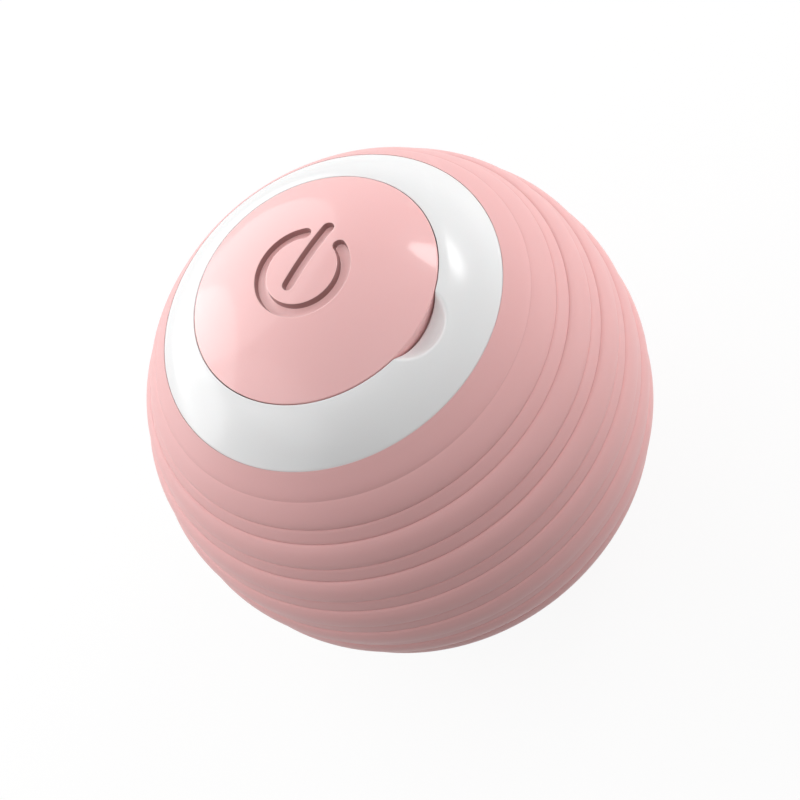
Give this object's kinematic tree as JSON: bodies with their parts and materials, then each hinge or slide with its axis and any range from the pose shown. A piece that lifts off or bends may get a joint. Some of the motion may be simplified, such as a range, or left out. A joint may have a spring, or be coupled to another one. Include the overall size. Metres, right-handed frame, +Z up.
{
  "type": "interactive cat ball",
  "caption": "Self-rolling cat ball with a ribbed silicone sleeve, a white ring and a tethered press cap over its button and charging socket.",
  "frame": {"origin": "centre of the small flat that the ball rests on, at the pole opposite the cap", "axes": "+Z up through the cap's middle, -Y towards the finger notch, the cap's tether at +Y"},
  "size_m": [0.0428, 0.0428, 0.0425],
  "materials": {
    "silicone": "matt silicone, soft sheen",
    "white_plastic": "moulded, satin gloss",
    "shell_plastic": "moulded",
    "grey_plastic": "moulded",
    "black_plastic": "moulded",
    "nylon": "moulded",
    "steel": "plated",
    "black_steel": "blackened",
    "brass": "turned",
    "zinc": "cast",
    "board": "solder mask",
    "battery_wrap": "shrink wrap",
    "foam": "foam",
    "led_lens": "clear tinted",
    "lead_red": "wire insulation",
    "lead_black": "wire insulation"
  },
  "bodies": {
    "case": {"sleeve": "silicone", "bezel": "white_plastic", "shell_front": "shell_plastic", "shell_rear": "shell_plastic", "battery_socket": "shell_plastic", "chassis": "grey_plastic", "gear_plate": "grey_plastic", "usb_shell": "steel", "usb_tongue": "black_plastic", "tact_body": "steel", "controller_chip": "black_plastic", "charger_chip": "black_plastic", "tilt_sensor": "steel", "led_1": "led_lens", "led_2": "led_lens", "pcb": "board", "arbor_a": "steel", "arbor_b": "steel", "bush_plate": "brass", "bush_base": "brass", "motor_can": "steel", "motor_bell": "black_plastic", "battery": "battery_wrap", "battery_pad": "foam", "battery_lead_red": "lead_red", "battery_lead_black": "lead_black", "motor_lead_red": "lead_red", "motor_lead_black": "lead_black", "well_screw_1": "steel", "chassis_screw_1": "steel", "plate_screw_1": "steel", "well_screw_2": "steel", "chassis_screw_2": "steel", "plate_screw_2": "steel", "well_screw_3": "steel", "chassis_screw_3": "steel", "plate_screw_3": "steel"},
    "strap": {"tether": "silicone"},
    "lid": {"cap": "silicone"},
    "button": {"button_disc": "white_plastic"},
    "plunger": {"tact_plunger": "black_plastic"},
    "output": {"output_gear": "nylon", "output_shaft": "steel", "weight": "zinc", "weight_screw": "black_steel"},
    "second_gear": {"gear_b": "nylon"},
    "first_gear": {"gear_a": "nylon"},
    "rotor": {"motor_shaft": "steel", "motor_pinion": "brass"}
  },
  "joints": [
    {"name": "tether", "type": "hinge", "parent": "case", "child": "strap", "pos_m": [0, 0.0089, 0.039], "axis": [-1, 0, 0], "range_deg": [0, 165]},
    {"name": "cap", "type": "hinge", "parent": "strap", "child": "lid", "pos_m": [0, 0.0011, 0.039], "axis": [1, 0, 0], "range_deg": [0, 132]},
    {"name": "button", "type": "slide", "parent": "case", "child": "button", "axis": [0, 0, -1], "range_m": [0, 0.0003], "stiffness_N_per_m": 400},
    {"name": "plunger", "type": "slide", "parent": "case", "child": "plunger", "axis": [0, 0, -1], "range_m": [0, 0.0003]},
    {"name": "output", "type": "hinge", "parent": "case", "child": "output", "pos_m": [0, 0, 0.0099], "axis": [0, 0, 1], "continuous": true},
    {"name": "second_gear", "type": "hinge", "parent": "case", "child": "second_gear", "pos_m": [0.00024, -0.00697, 0.0116], "axis": [0, 0, 1], "continuous": true},
    {"name": "first_gear", "type": "hinge", "parent": "case", "child": "first_gear", "pos_m": [-0.00635, -0.0047, 0.0133], "axis": [0, 0, 1], "continuous": true},
    {"name": "rotor", "type": "hinge", "parent": "case", "child": "rotor", "pos_m": [-0.00973, 0.0014, 0.0133], "axis": [0, 0, 1], "continuous": true}
  ],
  "couplings": [
    {"joint": "cap", "follows": "tether", "ratio": 0.8},
    {"joint": "plunger", "follows": "button", "ratio": 1},
    {"joint": "second_gear", "follows": "output", "ratio": -2.4444},
    {"joint": "first_gear", "follows": "output", "ratio": 5.9753},
    {"joint": "rotor", "follows": "output", "ratio": -14.606}
  ]
}
